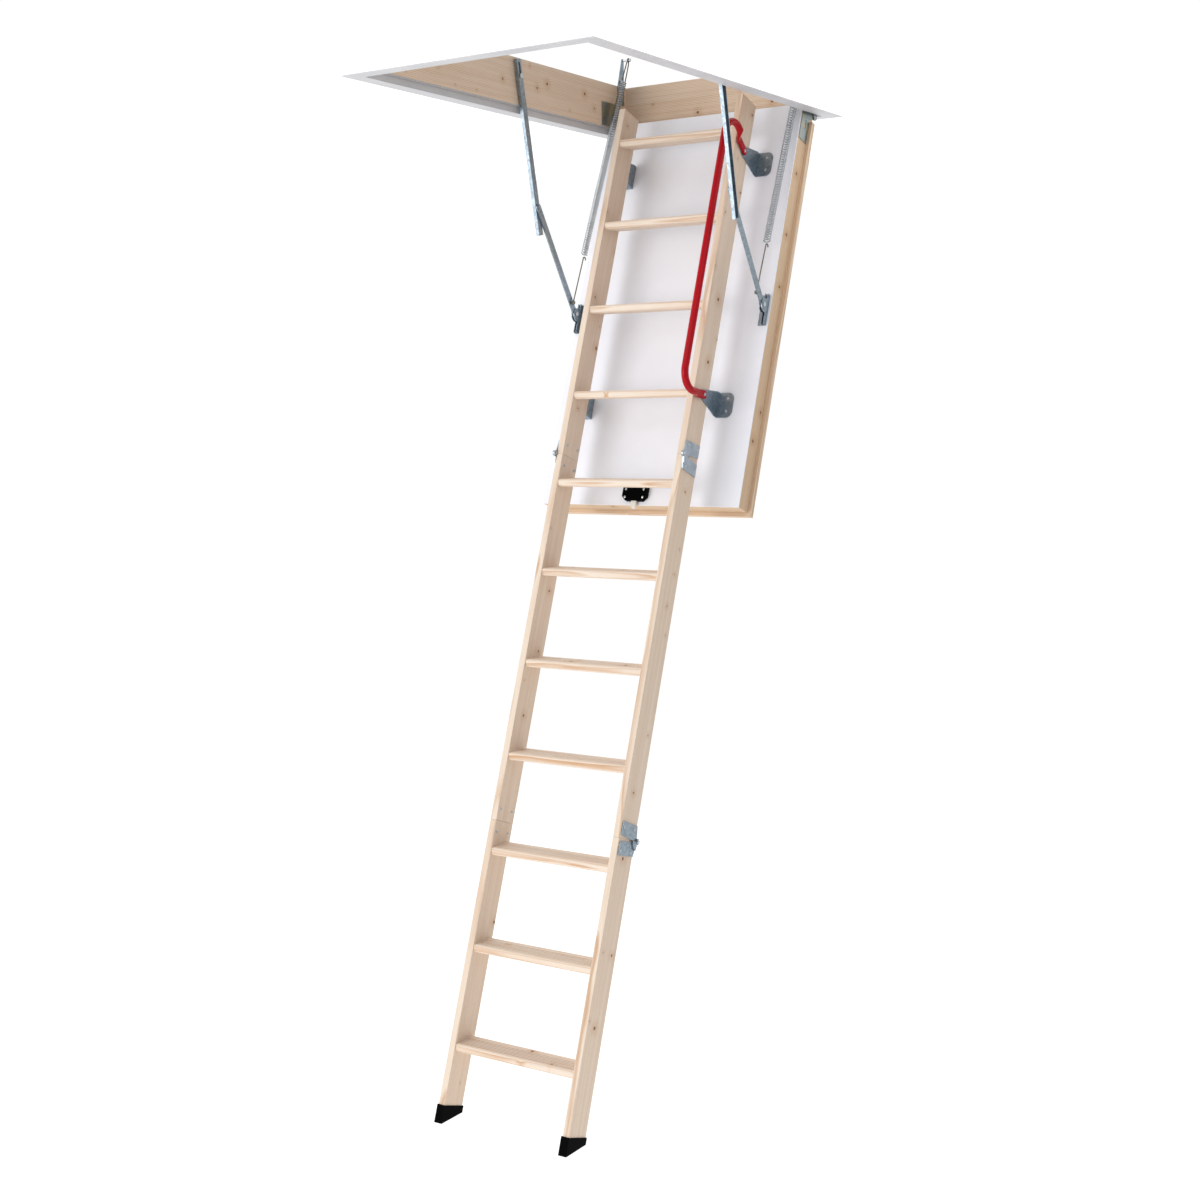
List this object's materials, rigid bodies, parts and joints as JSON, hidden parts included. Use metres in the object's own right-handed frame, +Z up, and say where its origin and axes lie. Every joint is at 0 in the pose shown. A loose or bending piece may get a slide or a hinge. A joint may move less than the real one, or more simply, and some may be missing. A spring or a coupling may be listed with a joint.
{
  "type": "attic_ladder",
  "caption": "Three-section wooden attic ladder folding on a sprung, insulated hatch in a ceiling casing",
  "frame": {"origin": "centre of the casing's clear opening, on the ceiling plane", "axes": "+Z up, +Y toward the hatch's hinged end, +X to the climber's right"},
  "size_m": [0.75, 1.31, 2.9119],
  "materials": {
    "pine": "satin",
    "tread_wood": "satin",
    "frame_wood": "satin",
    "white_panel": "satin",
    "insulation": "matte",
    "white_trim": "satin",
    "galvanised": "satin",
    "hinge_zinc": "satin",
    "bright_steel": "gloss",
    "spring_steel": "satin",
    "red_rail": "gloss",
    "black_plastic": "matte",
    "pale_plastic": "gloss",
    "seal_rubber": "matte"
  },
  "bodies": {
    "casing": {"left_long_board": "pine", "right_long_board": "pine", "front_board": "pine", "back_board": "pine", "corner_screws": "bright_steel", "left_trim": "white_trim", "right_trim": "white_trim", "front_trim": "white_trim", "back_trim": "white_trim", "casing_seal": "seal_rubber", "casing_hinges": "hinge_zinc", "spring_anchors": "galvanised", "spring_anchor_pins": "bright_steel", "latch_keeper": "bright_steel", "arm_top_bolts": "bright_steel"},
    "hatch": {"hinge_pins": "bright_steel", "hatch_left_stile": "frame_wood", "hatch_right_stile": "frame_wood", "hatch_front_rail": "frame_wood", "hatch_back_rail": "frame_wood", "hatch_core": "insulation", "hatch_top_panel": "white_panel", "hatch_bottom_panel": "white_panel", "hatch_rebate": "pine", "hatch_hinges": "hinge_zinc", "arm_brackets": "galvanised", "latch_case": "black_plastic", "angle_brackets": "galvanised", "handrail": "red_rail", "hatch_screws": "bright_steel", "bracket_bolts": "bright_steel", "upper_left_stringer": "pine", "upper_right_stringer": "pine", "upper_treads": "tread_wood", "upper_hinge_top_leaves": "galvanised", "upper_hinge_pins": "bright_steel"},
    "latch": {"latch_bolt": "pale_plastic"},
    "middle_section": {"middle_left_stringer": "pine", "middle_right_stringer": "pine", "middle_treads": "tread_wood", "upper_hinge_bottom_leaves": "galvanised", "lower_hinge_top_leaves": "galvanised", "lower_hinge_pins": "bright_steel", "middle_screws": "bright_steel"},
    "lower_section": {"lower_left_stringer": "pine", "lower_right_stringer": "pine", "lower_treads": "tread_wood", "lower_hinge_bottom_leaves": "galvanised", "lower_screws": "bright_steel", "left_foot": "black_plastic", "right_foot": "black_plastic"},
    "left_top_arm": {"left_upper_arm": "galvanised"},
    "left_bottom_arm": {"left_lower_arm": "galvanised"},
    "left_coil": {"left_spring": "spring_steel"},
    "left_rod": {"left_spring_rod": "bright_steel"},
    "right_top_arm": {"right_upper_arm": "galvanised"},
    "right_bottom_arm": {"right_lower_arm": "galvanised"},
    "right_coil": {"right_spring": "spring_steel"},
    "right_rod": {"right_spring_rod": "bright_steel"}
  },
  "joints": [
    {"name": "hatch_hinge", "type": "hinge", "parent": "casing", "child": "hatch", "pos_m": [0, 0.585, -0.008], "axis": [-1, 0, 0], "range_deg": [0, 58]},
    {"name": "left_arm_top_pivot", "type": "hinge", "parent": "casing", "child": "left_top_arm", "pos_m": [-0.312, 0.03, 0.098], "axis": [-1, 0, 0], "range_deg": [0, 107.04]},
    {"name": "left_arm_bottom_pivot", "type": "hinge", "parent": "hatch", "child": "left_bottom_arm", "pos_m": [-0.3095, 0.28457, -0.55123], "axis": [1, 0, 0], "range_deg": [0, 86.25]},
    {"name": "left_spring_pivot", "type": "hinge", "parent": "casing", "child": "left_coil", "pos_m": [-0.302, 0.584, 0.228], "axis": [-1, 0, 0], "range_deg": [0, 45.87]},
    {"name": "left_spring_stretch", "type": "slide", "parent": "left_coil", "child": "left_rod", "axis": [0, 0.3932, 0.9195], "range_m": [0, 0.11433], "deforming": ["left_spring"]},
    {"name": "right_arm_top_pivot", "type": "hinge", "parent": "casing", "child": "right_top_arm", "pos_m": [0.312, 0.03, 0.098], "axis": [-1, 0, 0], "range_deg": [0, 107.04]},
    {"name": "right_arm_bottom_pivot", "type": "hinge", "parent": "hatch", "child": "right_bottom_arm", "pos_m": [0.3095, 0.28457, -0.55123], "axis": [1, 0, 0], "range_deg": [0, 86.25]},
    {"name": "right_spring_pivot", "type": "hinge", "parent": "casing", "child": "right_coil", "pos_m": [0.302, 0.584, 0.228], "axis": [-1, 0, 0], "range_deg": [0, 45.87]},
    {"name": "right_spring_stretch", "type": "slide", "parent": "right_coil", "child": "right_rod", "axis": [0, 0.3932, 0.9195], "range_m": [0, 0.11433], "deforming": ["right_spring"]},
    {"name": "upper_fold", "type": "hinge", "parent": "hatch", "child": "middle_section", "pos_m": [0, 0.02201, -0.95303], "axis": [-1, 0, 0], "range_deg": [0, 180]},
    {"name": "lower_fold", "type": "hinge", "parent": "middle_section", "child": "lower_section", "pos_m": [0, -0.23414, -1.95678], "axis": [1, 0, 0], "range_deg": [0, 180]},
    {"name": "latch_slide", "type": "slide", "parent": "hatch", "child": "latch", "axis": [0, 0.3305, 0.9438], "range_m": [0, 0.012], "stiffness_N_per_m": 150, "springref_m": -0.01}
  ],
  "couplings": [
    {"joint": "left_arm_top_pivot", "follows": "hatch_hinge", "ratio": 1.8453},
    {"joint": "left_arm_bottom_pivot", "follows": "hatch_hinge", "ratio": 1.4869},
    {"joint": "left_spring_pivot", "follows": "hatch_hinge", "ratio": 0.79071},
    {"joint": "left_spring_stretch", "follows": "hatch_hinge", "m_per_rad": 0.11284},
    {"joint": "right_arm_top_pivot", "follows": "hatch_hinge", "ratio": 1.8453},
    {"joint": "right_arm_bottom_pivot", "follows": "hatch_hinge", "ratio": 1.4869},
    {"joint": "right_spring_pivot", "follows": "hatch_hinge", "ratio": 0.79071},
    {"joint": "right_spring_stretch", "follows": "hatch_hinge", "m_per_rad": 0.11284},
    {"joint": "lower_fold", "follows": "upper_fold", "ratio": 1}
  ]
}
